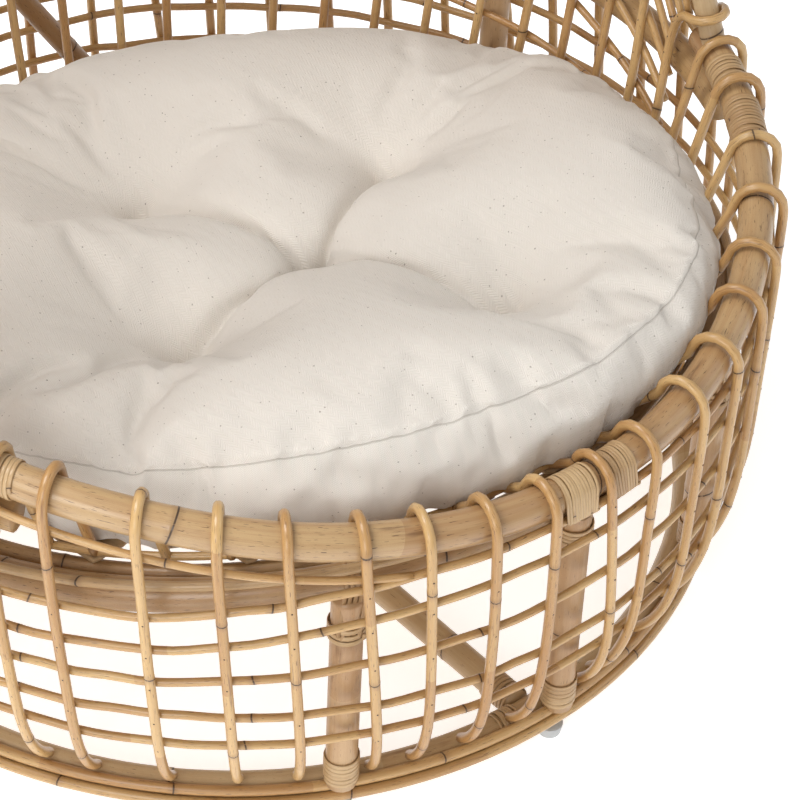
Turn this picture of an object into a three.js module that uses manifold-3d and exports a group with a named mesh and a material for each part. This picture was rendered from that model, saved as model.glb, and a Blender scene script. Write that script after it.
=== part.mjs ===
// Floor-standing rattan egg chair: a round basket of canes with a hood and a loose round cushion.
// Millimetres, +Z up, front of the chair towards -Y, origin on the floor under the middle of the base ring.
import * as THREE from 'three';
import { mergeVertices } from 'three/addons/utils/BufferGeometryUtils.js';
import Module from 'manifold-3d';

const wasm = await Module();
wasm.setup();

const clearance = 0.3; // between pieces that touch on the real chair
const lashGap = 1.6; // between a pole and the peel wound round it
const up = new THREE.Vector3(0, 0, 1);
const rad = THREE.MathUtils.degToRad;

// Base
const glideHeight = 10;
const glideDiameter = 22;
const glideReach = 8; // middle of a glide outside the middle of the base pole
const basePoleDiameter = 28;
const baseRingInset = 26.5; // middle of the base ring inside the middle of the rim
const trimDiameter = 9.6;
const trimLift = 3; // lower trim cane above the middle of the base pole

// Uprights and struts
const postDiameter = 26;
const middlePostAngle = -2; // the front post stands a little off the middle
const frontPostAngle = 29.5;
const sidePostAngle = 104;
const postInset = 13; // posts inside the middle of the rim
const stretcherDiameter = 24;
const stretcherAngle = -4.5; // its front end, beside the front post
const braceDiameter = 20;
const braceFootAngle = 150;
const braceHeadAngle = 172;

// Seat
const seatPoleDiameter = 27;
const seatRingInset = 33; // seat ring inside the middle of the rim
const seatRingForward = 20;
const seatFrontHeight = 266;
const seatTilt = 10;
const deckPoleDiameter = 16;
const slatWidth = 34;
const slatThickness = 4;
const slatCount = 9;
const slatPitch = 76;
const cushionOverhang = 1.7; // edge of the cushion past the middle of the deck ring
const cushionThickness = 96;
const cushionForward = 6; // ahead of the middle of the seat ring

// Edge of the basket and hood
const rimPoleDiameter = 29;
const rimRadius = 425;
const rimFrontHeight = 298;
const rimSideHeight = 357;
const jointAngle = 67.4;
const beltPoleDiameter = 27;
const beltHeight = 318;
const hoodPoleDiameter = 21;
const hoodTopHeight = 1235;
const hoodTopForward = 125;
const hoodStart = 2.4; // degrees past the joint where the hood pole begins
const hoodSpan = 60; // longest straight stretch of the hood pole
const hoodSetBack = 62; // how far the hood edge stands behind the joint at its rearmost

// Canes of the wall
const ribCount = 50;
const ribDiameter = 8.4;
const hoopDiameter = 7;
const loopGap = 2.3; // between the rim pole and a rib that loops over it
const ribFootLift = 22; // rib foot above the middle of the base pole
const ribFootReach = 9.5; // and outside it
const ribSweep = 3.4; // degrees that the feet of the side ribs stand ahead of their tops
const ribStart = -1; // angle of the rib nearest the front post
const innerLean = 0.33; // outward slope of the inner wall where it leaves the seat
const outerRows = 6; // spaces that the hoops make in the outer and the inner layer behind the joints
const innerRows = 9;

// Peel bindings
const peelThickness = 2;
const footBindingHeight = 30;

const postAngles = {
  front: middlePostAngle,
  front_right: frontPostAngle,
  front_left: -frontPostAngle,
  side_right: sidePostAngle,
  side_left: -sidePostAngle,
  rear: 180,
};
const baseRingRadius = rimRadius - baseRingInset;
const postCircleRadius = rimRadius - postInset;
const seatRingRadius = rimRadius - seatRingInset;
const wallRadius = rimRadius + (rimPoleDiameter + ribDiameter) / 2 + loopGap; // middle of the outer ribs
const basePoleHeight = glideHeight + basePoleDiameter / 2;
const trimReach = basePoleDiameter / 2 + trimDiameter / 2 + clearance;
const deckRingGap = lashGap + peelThickness + 2 * clearance;
const deckRingRadius = seatRingRadius - (seatPoleDiameter + deckPoleDiameter) / 2 - deckRingGap;
const cushionRadius = deckRingRadius + cushionOverhang;
const postFoot = basePoleHeight + trimLift + 1.5 * trimDiameter + 3 * clearance;
const ribStep = 360 / ribCount;
const ribToHoop = (ribDiameter + hoopDiameter) / 2 + 3 * clearance;
const tilt = rad(seatTilt);
const ribAngles = Array.from({ length: ribCount }, (_, i) => ribStart + ribStep * i)
  .map((angle) => (angle > 180 ? angle - 360 : angle));

const chair = new THREE.Group();

const tones = {
  pole: { color: 0xbd9d71, roughness: 0.5 },
  cane: { color: 0xc59a5c, roughness: 0.45 },
  trim: { color: 0xa98657, roughness: 0.5 },
  peel: { color: 0xc9a878, roughness: 0.5 },
  slat: { color: 0xcbb08a, roughness: 0.6 },
  fabric: { color: 0xd9d0c6, roughness: 0.95 },
  plastic: { color: 0xd6d6d4, roughness: 0.4 },
};

function addPiece(name, geometry, tone, parent = chair) {
  const material = new THREE.MeshStandardMaterial({ ...tones[tone], metalness: 0 });
  const mesh = new THREE.Mesh(geometry, material);
  mesh.name = name;
  parent.add(mesh);
  return mesh;
}

// Point at an angle from the front, counted towards the sitter's left hand (+X)
function around(angle, radius, height) {
  return new THREE.Vector3(radius * Math.sin(rad(angle)), -radius * Math.cos(rad(angle)), height);
}

// Pole with flat sides along a list of points, joined into a ring if closed.
// The section is carried from one point to the next without twisting.
function sweep(points, radius, sides, closed = false) {
  const count = points.length;
  const rings = [];
  let normal = null;
  for (let i = 0; i < count; i += 1) {
    const before = closed ? points[(i - 1 + count) % count] : points[Math.max(i - 1, 0)];
    const after = closed ? points[(i + 1) % count] : points[Math.min(i + 1, count - 1)];
    const intoPoint = points[i].clone().sub(before).normalize();
    const outOfPoint = after.clone().sub(points[i]).normalize();
    const tangent = intoPoint.clone().add(outOfPoint).normalize();
    if (normal === null) {
      const guide = Math.abs(tangent.z) > 0.9 ? new THREE.Vector3(1, 0, 0) : up;
      normal = guide.clone().addScaledVector(tangent, -guide.dot(tangent)).normalize();
    } else {
      normal = normal.clone().addScaledVector(tangent, -normal.dot(tangent)).normalize();
    }
    const side = new THREE.Vector3().crossVectors(tangent, normal);
    const ring = [];
    for (let k = 0; k < sides; k += 1) {
      const turn = (2 * Math.PI * (k + 0.5)) / sides;
      ring.push(points[i].clone()
        .addScaledVector(normal, radius * Math.cos(turn))
        .addScaledVector(side, radius * Math.sin(turn)));
    }
    rings.push(ring);
  }
  return skinRings(rings, sides, closed);
}

// Skin over a list of rings of points, closed by end caps or into a loop
function skinRings(rings, sides, closed) {
  const positions = rings.flat().flatMap((p) => [p.x, p.y, p.z]);
  const faces = [];
  const spans = closed ? rings.length : rings.length - 1;
  for (let i = 0; i < spans; i += 1) {
    const near = i * sides;
    const far = ((i + 1) % rings.length) * sides;
    for (let k = 0; k < sides; k += 1) {
      const next = (k + 1) % sides;
      faces.push(near + k, near + next, far + next, near + k, far + next, far + k);
    }
  }
  if (!closed) {
    const last = (rings.length - 1) * sides;
    for (let k = 1; k < sides - 1; k += 1) {
      faces.push(0, k + 1, k);
      faces.push(last, last + k, last + k + 1);
    }
  }
  const geometry = new THREE.BufferGeometry();
  geometry.setAttribute('position', new THREE.Float32BufferAttribute(positions, 3));
  geometry.setIndex(faces);
  return geometry;
}

function toSolid(geometry) {
  const bare = geometry.clone();
  bare.deleteAttribute('normal');
  bare.deleteAttribute('uv');
  const merged = mergeVertices(bare, 1e-4);
  return new wasm.Manifold(new wasm.Mesh({
    numProp: 3,
    vertProperties: new Float32Array(merged.attributes.position.array),
    triVerts: new Uint32Array(merged.index.array),
  }));
}

function toGeometry(solid) {
  const mesh = solid.getMesh();
  const geometry = new THREE.BufferGeometry();
  geometry.setAttribute('position', new THREE.Float32BufferAttribute(mesh.vertProperties, 3));
  geometry.setIndex(Array.from(mesh.triVerts));
  return geometry;
}

function joinAll(geometries) {
  return toGeometry(geometries.map(toSolid).reduce((whole, next) => whole.add(next)));
}

// Ring of points, one at every step of the angle
function ringPoints(count, place) {
  return Array.from({ length: count }, (_, i) => place((360 * i) / count));
}

function arcPoints(from, to, count, place) {
  return Array.from({ length: count + 1 }, (_, i) => place(from + ((to - from) * i) / count));
}

// Height of the rim pole's middle: low at the front, rising to the two joints
function rimHeight(angle) {
  const rise = (1 - Math.cos(2 * rad(angle))) / (1 - Math.cos(2 * rad(jointAngle)));
  return rimFrontHeight + (rimSideHeight - rimFrontHeight) * rise;
}

function rimPoint(angle) {
  return around(angle, rimRadius, rimHeight(angle));
}

// Half of the hood's edge, from the right-hand joint up and over to the middle of the top
class HoodEdge extends THREE.Curve {
  getPoint(t) {
    const joint = rimPoint(jointAngle);
    const climb = Math.sin((t * Math.PI) / 2);
    const across = Math.cos((t * Math.PI) / 2);
    const back = -joint.y - hoodSetBack;
    const forward = hoodTopForward - hoodSetBack;
    const y = joint.y + back * climb * (3.2 - 2.2 * climb) - forward * climb ** 3;
    return new THREE.Vector3(joint.x * across, y, joint.z + (hoodTopHeight - joint.z) * climb);
  }
}
const hoodEdge = new HoodEdge();
hoodEdge.arcLengthDivisions = 400;

// Edge of the basket at a rib's angle, -180 to 180: the rim in front, the hood behind
function edgePoint(angle) {
  const size = Math.abs(angle);
  if (size <= jointAngle) return rimPoint(angle);
  const point = hoodEdge.getPointAt((size - jointAngle) / (180 - jointAngle));
  return angle < 0 ? point.setX(-point.x) : point;
}

// Directions at the edge: along the pole, out of the shell, and over the pole
function edgeFrame(angle) {
  const spread = 0.5;
  const low = Math.max(angle - spread, -180);
  const high = Math.min(angle + spread, 180);
  const along = edgePoint(high).sub(edgePoint(low)).normalize();
  if (Math.abs(angle) <= jointAngle) along.setZ(0).normalize();
  const middle = Math.abs(angle) <= jointAngle
    ? new THREE.Vector3(0, 0, edgePoint(angle).z)
    : new THREE.Vector3(0, 90, 480);
  const out = edgePoint(angle).sub(middle);
  out.addScaledVector(along, -out.dot(along)).normalize();
  const over = new THREE.Vector3().crossVectors(along, out).multiplyScalar(-1);
  if (over.dot(new THREE.Vector3(0, -1, 1)) < 0) over.multiplyScalar(-1);
  return { along, out, over };
}

// Plane of the seat: height over a place on the floor plan, and the ring that lies in it
function seatHeight(y) {
  const front = -(seatRingRadius * Math.cos(tilt) + seatRingForward);
  return seatFrontHeight - (y - front) * Math.tan(tilt);
}

function seatRingPoint(angle, radius = seatRingRadius, lift = 0) {
  const y = -radius * Math.cos(rad(angle)) * Math.cos(tilt) - seatRingForward;
  const x = radius * Math.sin(rad(angle));
  return new THREE.Vector3(x, y + lift * Math.sin(tilt), seatHeight(y) + lift * Math.cos(tilt));
}

// Radius of the outer ribs' middles over height: tucked in at the foot, upright above
function outerWallRadius(height) {
  const foot = basePoleHeight + ribFootLift;
  const tuck = wallRadius - baseRingRadius - ribFootReach;
  return wallRadius - tuck * Math.exp(-(height - foot) / 38);
}

// A rib's foot stands a little ahead of its top, and steps aside for a post
function footAngle(angle) {
  let foot = angle - ribSweep * Math.sin(rad(angle));
  const aside = THREE.MathUtils.radToDeg((postDiameter + ribDiameter) / 2 / baseRingRadius) + 1;
  for (const post of [...Object.values(postAngles), braceFootAngle, -braceFootAngle]) {
    const off = THREE.MathUtils.euclideanModulo(foot - post + 180, 360) - 180;
    if (Math.abs(off) < aside) foot += (off < 0 ? -aside : aside) - off;
  }
  return foot;
}

function outerLowPoint(angle, height, inset = 0) {
  const foot = basePoleHeight + ribFootLift;
  const share = (height - foot) / (beltHeight - foot);
  const turn = footAngle(angle) + (angle - footAngle(angle)) * Math.min(share, 1);
  return around(turn, outerWallRadius(height) - inset, height);
}

// Heights of the five outer hoops, which crowd up towards the rim in front
function outerHoopHeight(row, angle) {
  const swell = Math.exp(-((Math.abs(angle) / 42) ** 4));
  const level = [249, 214, 182, 146, 111][row];
  const lift = [35, 36, 18, 0, 0][row];
  return level + lift * swell;
}

// Line of a rib behind the joints: outside from the belt, inside from the seat, to the hood's edge
function upperWall(angle, outside) {
  const { out, over } = edgeFrame(angle);
  const reach = (hoodPoleDiameter + ribDiameter) / 2 + 2.2;
  const start = outside ? around(angle, wallRadius, beltHeight) : innerFoot(angle);
  const rise = outside ? up : around(angle, innerLean, 1).normalize();
  const end = edgePoint(angle).addScaledVector(out, outside ? reach : -reach);
  const handle = 0.39 * start.distanceTo(end);
  return new THREE.CubicBezierCurve3(
    start,
    start.clone().addScaledVector(rise, handle),
    end.clone().addScaledVector(over, -handle),
    end,
  );
}

function loopPoints(angle, poleDiameter, steps) {
  const { out, over } = edgeFrame(angle);
  const reach = ((poleDiameter + ribDiameter) / 2 + 2.2) / Math.cos(Math.PI / steps / 2);
  const atWall = Math.abs(angle) <= jointAngle ? wallRadius - rimRadius : reach;
  const points = [];
  for (let i = 0; i <= steps; i += 1) {
    const turn = (Math.PI * i) / steps;
    const outward = turn < Math.PI / 2 ? atWall : reach;
    points.push(edgePoint(angle)
      .addScaledVector(out, outward * Math.cos(turn))
      .addScaledVector(over, reach * Math.sin(turn)));
  }
  return points;
}

// Where the inner end of a rib is nailed, over the deck ring and the ends of the slats
function innerFoot(angle) {
  const lift = (deckPoleDiameter + ribDiameter) / 2 + slatThickness + 3 * clearance;
  return seatRingPoint(angle, deckRingRadius, lift);
}

// Route of one rib: up the outside, over the edge pole and down the inside to the seat
function ribRoute(angle) {
  const front = Math.abs(angle) <= jointAngle;
  const top = front ? rimHeight(angle) - 8 : beltHeight;
  const foot = basePoleHeight + ribFootLift;
  const points = [foot, foot + 14, foot + 40, foot + 100].map((z) => outerLowPoint(angle, z));
  points.push(outerLowPoint(angle, (foot + 100 + top) / 2));
  if (front) return [...points, ...loopPoints(angle, rimPoleDiameter, 4), innerFoot(angle)];
  const outer = upperWall(angle, true).getPoints(outerRows);
  const inner = upperWall(angle, false).getPoints(innerRows - 1).reverse();
  const loop = loopPoints(angle, hoodPoleDiameter, 3).slice(1, 3);
  return [...points, ...outer, ...loop, ...inner];
}

// A panel is several ribs and the stretch of nailing cane that holds their inner ends
function ribPanel(name, first, last) {
  const angles = [];
  for (let i = first; i <= last; i += 1) angles.push(ribStart + i * ribStep);
  const wrapped = angles.map((a) => (a > 180 ? a - 360 : a));
  const ribs = wrapped.map((angle) => sweep(ribRoute(angle), ribDiameter / 2, 4));
  const strip = sweep(angles.map((a) => innerFoot(a)), ribDiameter / 2, 4);
  addPiece(name, joinAll([...ribs, strip]), 'cane');
}

function addBase() {
  const steps = 36;
  const pole = ringPoints(steps, (a) => around(a, baseRingRadius, basePoleHeight));
  addPiece('base_pole', sweep(pole, basePoleDiameter / 2, 8, true), 'pole');
  const lowerOut = Math.sqrt(trimReach ** 2 - trimLift ** 2);
  const upperLift = trimLift + trimDiameter + clearance;
  const upperOut = Math.sqrt(trimReach ** 2 - upperLift ** 2) + 1.2;
  const lower = ringPoints(steps, (a) => around(a, baseRingRadius + lowerOut, basePoleHeight + trimLift));
  const upper = ringPoints(steps, (a) => around(a, baseRingRadius + upperOut, basePoleHeight + upperLift));
  addPiece('base_trim_lower', sweep(lower, trimDiameter / 2 - clearance, 6, true), 'trim');
  addPiece('base_trim_upper', sweep(upper, trimDiameter / 2 - clearance, 6, true), 'trim');
  const flatRadius = baseRingRadius * Math.cos(Math.PI / steps);
  const reach = flatRadius - basePoleDiameter / 2 - clearance;
  const ends = [stretcherAngle, 180].map((a) => around(a, reach, basePoleHeight));
  addPiece('base_stretcher', sweep(ends, stretcherDiameter / 2, 10), 'pole');
}

function addPosts() {
  for (const [place, angle] of Object.entries(postAngles)) {
    const below = Math.abs(angle) < jointAngle
      ? seatRingPoint(angle).z - seatPoleDiameter / 2
      : beltHeight - beltPoleDiameter / 2;
    const top = below - lashGap - peelThickness - clearance;
    const ends = [postFoot, top].map((z) => around(angle, postCircleRadius, z));
    addPiece(`post_${place}`, sweep(ends, postDiameter / 2, 8), 'pole');
    const tall = basePoleHeight - (basePoleDiameter / 2) * Math.cos(Math.PI / 8) - clearance;
    const glide = new THREE.CylinderGeometry(glideDiameter / 2, glideDiameter / 2 - 2, tall, 12);
    glide.rotateX(Math.PI / 2);
    const spot = around(angle, baseRingRadius + glideReach, tall / 2);
    glide.translate(spot.x, spot.y, spot.z);
    addPiece(`glide_${place}`, glide, 'plastic');
  }
}

function addBraces() {
  for (const [place, side] of [['right', 1], ['left', -1]]) {
    const foot = around(side * braceFootAngle, postCircleRadius + 3, basePoleHeight + 31);
    const headHeight = beltHeight - (beltPoleDiameter + braceDiameter) / 2 - 4;
    const head = around(side * braceHeadAngle, postCircleRadius, headHeight);
    addPiece(`brace_rear_${place}`, sweep([foot, head], braceDiameter / 2, 8), 'pole');
  }
}

function addSeat() {
  const ring = ringPoints(45, (a) => seatRingPoint(a));
  addPiece('seat_ring', sweep(ring, seatPoleDiameter / 2, 8, true), 'pole');
  const deck = ringPoints(36, (a) => seatRingPoint(a, deckRingRadius, 0));
  addPiece('deck_ring', sweep(deck, deckPoleDiameter / 2, 6, true), 'pole');
  const slats = [];
  const topOfDeck = deckPoleDiameter / 2 + clearance;
  for (let i = 0; i < slatCount; i += 1) {
    const x = (i - (slatCount - 1) / 2) * slatPitch;
    const half = Math.sqrt((deckRingRadius + 6) ** 2 - (Math.abs(x) + slatWidth / 2) ** 2);
    const slat = new THREE.BoxGeometry(slatWidth, 2 * half, slatThickness);
    slat.translate(x, 0, topOfDeck + slatThickness / 2);
    slats.push(slat);
  }
  const bearer = new THREE.BoxGeometry((slatCount - 1) * slatPitch + slatWidth, slatWidth, slatThickness);
  bearer.translate(0, 0, topOfDeck - slatThickness / 2 + 0.2);
  const deckSlats = joinAll([...slats, bearer]);
  layOnSeat(deckSlats);
  addPiece('deck_slats', deckSlats, 'slat');
}

// Turns a shape made flat round the Z axis into the seat's plane
function layOnSeat(geometry) {
  const middle = seatRingPoint(90, 0);
  geometry.rotateX(-tilt);
  geometry.translate(0, middle.y, middle.z);
}

function addCushion() {
  const half = cushionThickness / 2;
  const shoulder = cushionRadius - half * 0.62;
  const profile = [
    [0, 0], [shoulder - 20, 0], [shoulder + 12, 8], [cushionRadius - 4, half * 0.62],
    [cushionRadius, half], [cushionRadius - 6, half * 1.34], [shoulder, cushionThickness - 12],
    [shoulder - 60, cushionThickness - 2], [0, cushionThickness],
  ].map(([r, z]) => new THREE.Vector2(r, z));
  const body = new THREE.LatheGeometry(profile, 28);
  body.rotateX(Math.PI / 2);
  const rest = deckPoleDiameter / 2 + clearance + slatThickness + clearance;
  body.translate(0, -cushionForward, rest);
  layOnSeat(body);
  addPiece('cushion', mergeVertices(stripExtras(body), 1e-4), 'fabric');
}

function stripExtras(geometry) {
  geometry.deleteAttribute('normal');
  geometry.deleteAttribute('uv');
  return geometry;
}

function addEdgePoles() {
  const stop = jointAngle - 0.6;
  addPiece('rim_front', sweep(arcPoints(-stop, stop, 24, rimPoint), rimPoleDiameter / 2, 8), 'pole');
  const start = jointAngle - 4;
  const belt = arcPoints(start, 360 - start, 30, (a) => around(a, rimRadius, beltHeight));
  addPiece('belt_pole', sweep(belt, beltPoleDiameter / 2, 8), 'pole');
  const from = jointAngle + hoodStart;
  const steps = 2 * Math.ceil(hoodEdge.getLength() / hoodSpan);
  const hood = arcPoints(from, 360 - from, steps, (a) => edgePoint(a > 180 ? a - 360 : a));
  addPiece('hood_pole', sweep(hood, hoodPoleDiameter / 2, 8), 'pole');
}

// Peel wound round one or two poles: a sleeve along the given routes
function binding(name, routes, diameters) {
  const outer = [];
  const inner = [];
  routes.forEach((route, i) => {
    const bore = diameters[i] / 2 + lashGap;
    const first = route[0];
    const last = route[route.length - 1];
    const before = first.clone().add(first.clone().sub(route[1]));
    const after = last.clone().add(last.clone().sub(route[route.length - 2]));
    outer.push(toSolid(sweep(route, bore + peelThickness, 8)));
    inner.push(toSolid(sweep([before, ...route, after], bore, 8)));
  });
  inner.push(toSolid(hoopSweep(0, hoopDiameter / 2 + clearance)));
  const shell = outer.reduce((a, b) => a.add(b));
  addPiece(name, toGeometry(inner.reduce((a, b) => a.subtract(b), shell)), 'peel');
}

function addBindings() {
  const between = (i) => ribStart + ribStep * (i + 0.5);
  const reach = ribStep / 2 - 1.2;
  const stretch = (middle, place) => arcPoints(middle - reach, middle + reach, 3, place);
  const front = between(-1);
  const rim = stretch(front, rimPoint);
  const seat = stretch(front, (a) => seatRingPoint(a));
  const middle = rim.map((p, i) => p.clone().add(seat[i]).multiplyScalar(0.5));
  binding('binding_front', [rim, seat, middle], [rimPoleDiameter, seatPoleDiameter, seatPoleDiameter - 4]);
  binding('binding_joint_right', [stretch(between(8), rimPoint)], [rimPoleDiameter]);
  binding('binding_joint_left', [stretch(between(-9), rimPoint)], [rimPoleDiameter]);
  for (const [place, angle] of Object.entries(postAngles)) {
    const low = postFoot + lashGap;
    const route = [low, low + footBindingHeight].map((z) => around(angle, postCircleRadius, z));
    binding(`binding_foot_${place}`, [route], [postDiameter]);
  }
}

function hoopSweep(row, radius) {
  const points = ribAngles.map((a) => outerLowPoint(a, outerHoopHeight(row, a), ribToHoop));
  return sweep(points, radius, 4, true);
}

function addHoops() {
  for (let row = 0; row < 5; row += 1) {
    addPiece(`outer_hoop_${row + 1}`, hoopSweep(row, hoopDiameter / 2), 'cane');
  }
  for (const layer of ['outer', 'inner']) {
    const rows = layer === 'outer' ? outerRows : innerRows;
    for (let row = 1; row < rows; row += 1) {
      const points = ribAngles.filter((a) => Math.abs(a) > jointAngle)
        .map((angle) => wallHoopPoint(angle, row / rows, layer === 'outer'));
      addPiece(`hood_hoop_${layer}_${row}`, sweep(points, hoopDiameter / 2, 4), 'cane');
    }
  }
}

// Hoops lie between the two layers of ribs, against the layer they are nailed to
function wallHoopPoint(angle, share, outside) {
  const wall = upperWall(angle, outside);
  const [left, right] = [1, -1].map((turn) => upperWall(angle + turn, outside).getPoint(share));
  const outward = left.sub(right).cross(wall.getTangent(share)).normalize();
  return wall.getPoint(share).addScaledVector(outward, outside ? -ribToHoop : ribToHoop);
}

addBase();
addPosts();
addBraces();
addSeat();
addCushion();
addEdgePoles();
addBindings();
addHoops();
ribPanel('ribs_front', -3, 3);
ribPanel('ribs_front_right', 4, 9);
ribPanel('ribs_front_left', -9, -4);
ribPanel('ribs_side_right', 10, 15);
ribPanel('ribs_rear_right', 16, 21);
ribPanel('ribs_rear', 22, 28);
ribPanel('ribs_rear_left', 29, 34);
ribPanel('ribs_side_left', 35, 40);

export default chair;
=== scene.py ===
import bpy
import bmesh
import math
import random
import numpy as np
from mathutils import Matrix, Vector


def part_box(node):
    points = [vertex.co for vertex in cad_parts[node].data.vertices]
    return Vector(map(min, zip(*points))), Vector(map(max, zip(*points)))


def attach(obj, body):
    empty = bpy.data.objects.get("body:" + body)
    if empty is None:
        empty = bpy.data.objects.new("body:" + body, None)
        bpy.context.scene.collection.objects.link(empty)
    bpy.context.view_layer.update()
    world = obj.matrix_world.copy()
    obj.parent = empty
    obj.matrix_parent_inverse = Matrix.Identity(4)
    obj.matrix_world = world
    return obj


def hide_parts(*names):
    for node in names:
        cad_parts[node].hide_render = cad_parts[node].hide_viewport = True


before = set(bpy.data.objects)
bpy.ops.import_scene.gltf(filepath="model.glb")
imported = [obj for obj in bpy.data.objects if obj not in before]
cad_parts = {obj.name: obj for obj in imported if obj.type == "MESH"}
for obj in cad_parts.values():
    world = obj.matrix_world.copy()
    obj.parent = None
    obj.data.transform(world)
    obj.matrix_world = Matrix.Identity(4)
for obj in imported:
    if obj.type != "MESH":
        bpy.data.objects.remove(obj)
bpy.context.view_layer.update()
print("frame loaded:", len(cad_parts), "pieces")

facet = math.cos(math.radians(22.5))  # a pole's flat sides stand this share of its radius out


def middleOf(node):
    low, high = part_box(node)
    return (low + high) / 2


def halfWidth(node):
    low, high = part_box(node)
    return (high.x - low.x) / 2


# Camera first: a long lens from the chair's front left, high up
camera = {"place": (-1.4716, -1.6623, 2.0822), "looksAt": (0.1228, -0.0791, 0.0591),
          "lens": 155.25, "roll": 2.98}


def setCamera():
    bpy.ops.object.select_all(action="DESELECT")
    bpy.ops.object.camera_add(location=camera["place"])
    eye = bpy.context.object
    eye.name = "chairCamera"
    eye.data.lens = camera["lens"]
    eye.data.clip_end = 50
    aim = Vector(camera["looksAt"]) - Vector(camera["place"])
    turn = aim.to_track_quat("-Z", "Y").to_matrix().to_4x4()
    turn = turn @ Matrix.Rotation(math.radians(camera["roll"]), 4, "Z")
    eye.rotation_euler = turn.to_euler()
    bpy.context.scene.camera = eye


setCamera()

# Sizes of the chair, in metres, worked out from the frame where it shows them
base = {"poleRadius": 0.014, "poleHeight": middleOf("base_pole").z, "trimRadius": 0.0046}
base["ringRadius"] = halfWidth("base_pole") - base["poleRadius"] * facet
seat = {"poleRadius": 0.0135, "deckRadius": 0.008, "tilt": math.radians(10), "forward": 0.020}
seat["ringRadius"] = halfWidth("seat_ring") - seat["poleRadius"] * facet
seat["frontHeight"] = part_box("seat_ring")[1].z - seat["poleRadius"] * facet
seat["deckRingRadius"] = halfWidth("deck_ring") - seat["deckRadius"] * 0.9
rim = {"poleRadius": 0.0145, "radius": 0.425, "sideHeight": 0.357, "jointAngle": 67.4}
rim["frontHeight"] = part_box("rim_front")[0].z + rim["poleRadius"] * facet
belt = {"poleRadius": 0.0135, "radius": 0.425, "height": middleOf("belt_pole").z}
hood = {"poleRadius": 0.0105, "top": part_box("hood_pole")[1].z - 0.0097, "forward": 0.125, "setBack": 0.062,
        "outerRows": 6, "innerRows": 9}
wall = {"ribs": 50, "first": -1.0, "ribRadius": 0.0042, "hoopRadius": 0.0035, "radius": 0.446,
        "innerLean": 0.33, "footLift": 0.022, "footReach": 0.0095, "sweep": 3.4,
        "hoopLevels": [0.249, 0.214, 0.182, 0.146, 0.111], "hoopLifts": [0.035, 0.036, 0.018, 0, 0]}
posts = {"front": -2, "front_right": 29.5, "front_left": -29.5,
         "side_right": 104, "side_left": -104, "rear": 180}
upright = {"radius": 0.013, "circle": 0.412, "braceRadius": 0.010, "braceFoot": 150, "braceHead": 172}
ribStep = 360 / wall["ribs"]


def around(angle, radius, height):  # angle from the front, towards the sitter's left
    turn = math.radians(angle)
    return np.array([radius * math.sin(turn), -radius * math.cos(turn), height])


def rimHeight(angle):
    rise = (1 - math.cos(2 * math.radians(angle))) / (1 - math.cos(2 * math.radians(rim["jointAngle"])))
    return rim["frontHeight"] + (rim["sideHeight"] - rim["frontHeight"]) * rise


def rimPoint(angle):
    return around(angle, rim["radius"], rimHeight(angle))


def hoodCurve(share):  # share of the quarter turn from the joint to the top
    joint = rimPoint(rim["jointAngle"])
    climb = math.sin(share * math.pi / 2)
    back = -joint[1] - hood["setBack"]
    lean = (hood["forward"] - hood["setBack"]) * climb ** 3
    y = joint[1] + back * climb * (3.2 - 2.2 * climb) - lean
    x = joint[0] * math.cos(share * math.pi / 2)
    return np.array([x, y, joint[2] + (hood["top"] - joint[2]) * climb])


hoodPoints = np.array([hoodCurve(i / 400) for i in range(401)])
hoodLengths = np.concatenate([[0], np.cumsum(np.linalg.norm(np.diff(hoodPoints, axis=0), axis=1))])


def edgePoint(angle):  # edge of the basket at a rib: the rim in front, the hood's pole behind
    size = abs(angle)
    if size <= rim["jointAngle"]:
        return rimPoint(angle)
    reach = (size - rim["jointAngle"]) / (180 - rim["jointAngle"]) * hoodLengths[-1]
    point = np.array([np.interp(reach, hoodLengths, hoodPoints[:, i]) for i in range(3)])
    if angle < 0:
        point[0] = -point[0]
    return point


def unit(vector):
    return vector / max(np.linalg.norm(vector), 1e-9)


def edgeFrame(angle):  # out of the shell, and over the pole
    low, high = max(angle - 0.5, -180), min(angle + 0.5, 180)
    along = unit(edgePoint(high) - edgePoint(low))
    if abs(angle) <= rim["jointAngle"]:
        along = unit(along * [1, 1, 0])
        middle = np.array([0, 0, edgePoint(angle)[2]])
    else:
        middle = np.array([0, 0.09, 0.48])
    out = edgePoint(angle) - middle
    out = unit(out - along * out.dot(along))
    over = np.cross(along, out)
    if over.dot([0, -1, 1]) < 0:
        over = -over
    return out, over


def seatHeight(y):
    front = -(seat["ringRadius"] * math.cos(seat["tilt"]) + seat["forward"])
    return seat["frontHeight"] - (y - front) * math.tan(seat["tilt"])


def seatPoint(angle, radius, lift=0.0):  # on the tilted seat
    y = -radius * math.cos(math.radians(angle)) * math.cos(seat["tilt"]) - seat["forward"]
    x = radius * math.sin(math.radians(angle))
    return np.array([x, y + lift * math.sin(seat["tilt"]), seatHeight(y) + lift * math.cos(seat["tilt"])])


def wallRadius(height):
    foot = base["poleHeight"] + wall["footLift"]
    tuck = wall["radius"] - base["ringRadius"] - wall["footReach"]
    return wall["radius"] - tuck * math.exp(-(height - foot) / 0.038)


def footAngle(angle):  # a rib's foot stands ahead of its top and steps aside for a post
    foot = angle - wall["sweep"] * math.sin(math.radians(angle))
    aside = math.degrees((2 * upright["radius"] + 2 * wall["ribRadius"]) / 2 / base["ringRadius"]) + 1
    for post in [*posts.values(), upright["braceFoot"], -upright["braceFoot"]]:
        off = (foot - post + 180) % 360 - 180
        if abs(off) < aside:
            foot += (-aside if off < 0 else aside) - off
    return foot


def outerPoint(angle, height, inset=0.0):
    foot = base["poleHeight"] + wall["footLift"]
    share = min((height - foot) / (belt["height"] - foot), 1)
    turn = footAngle(angle) + (angle - footAngle(angle)) * share
    return around(turn, wallRadius(height) - inset, height)


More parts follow.
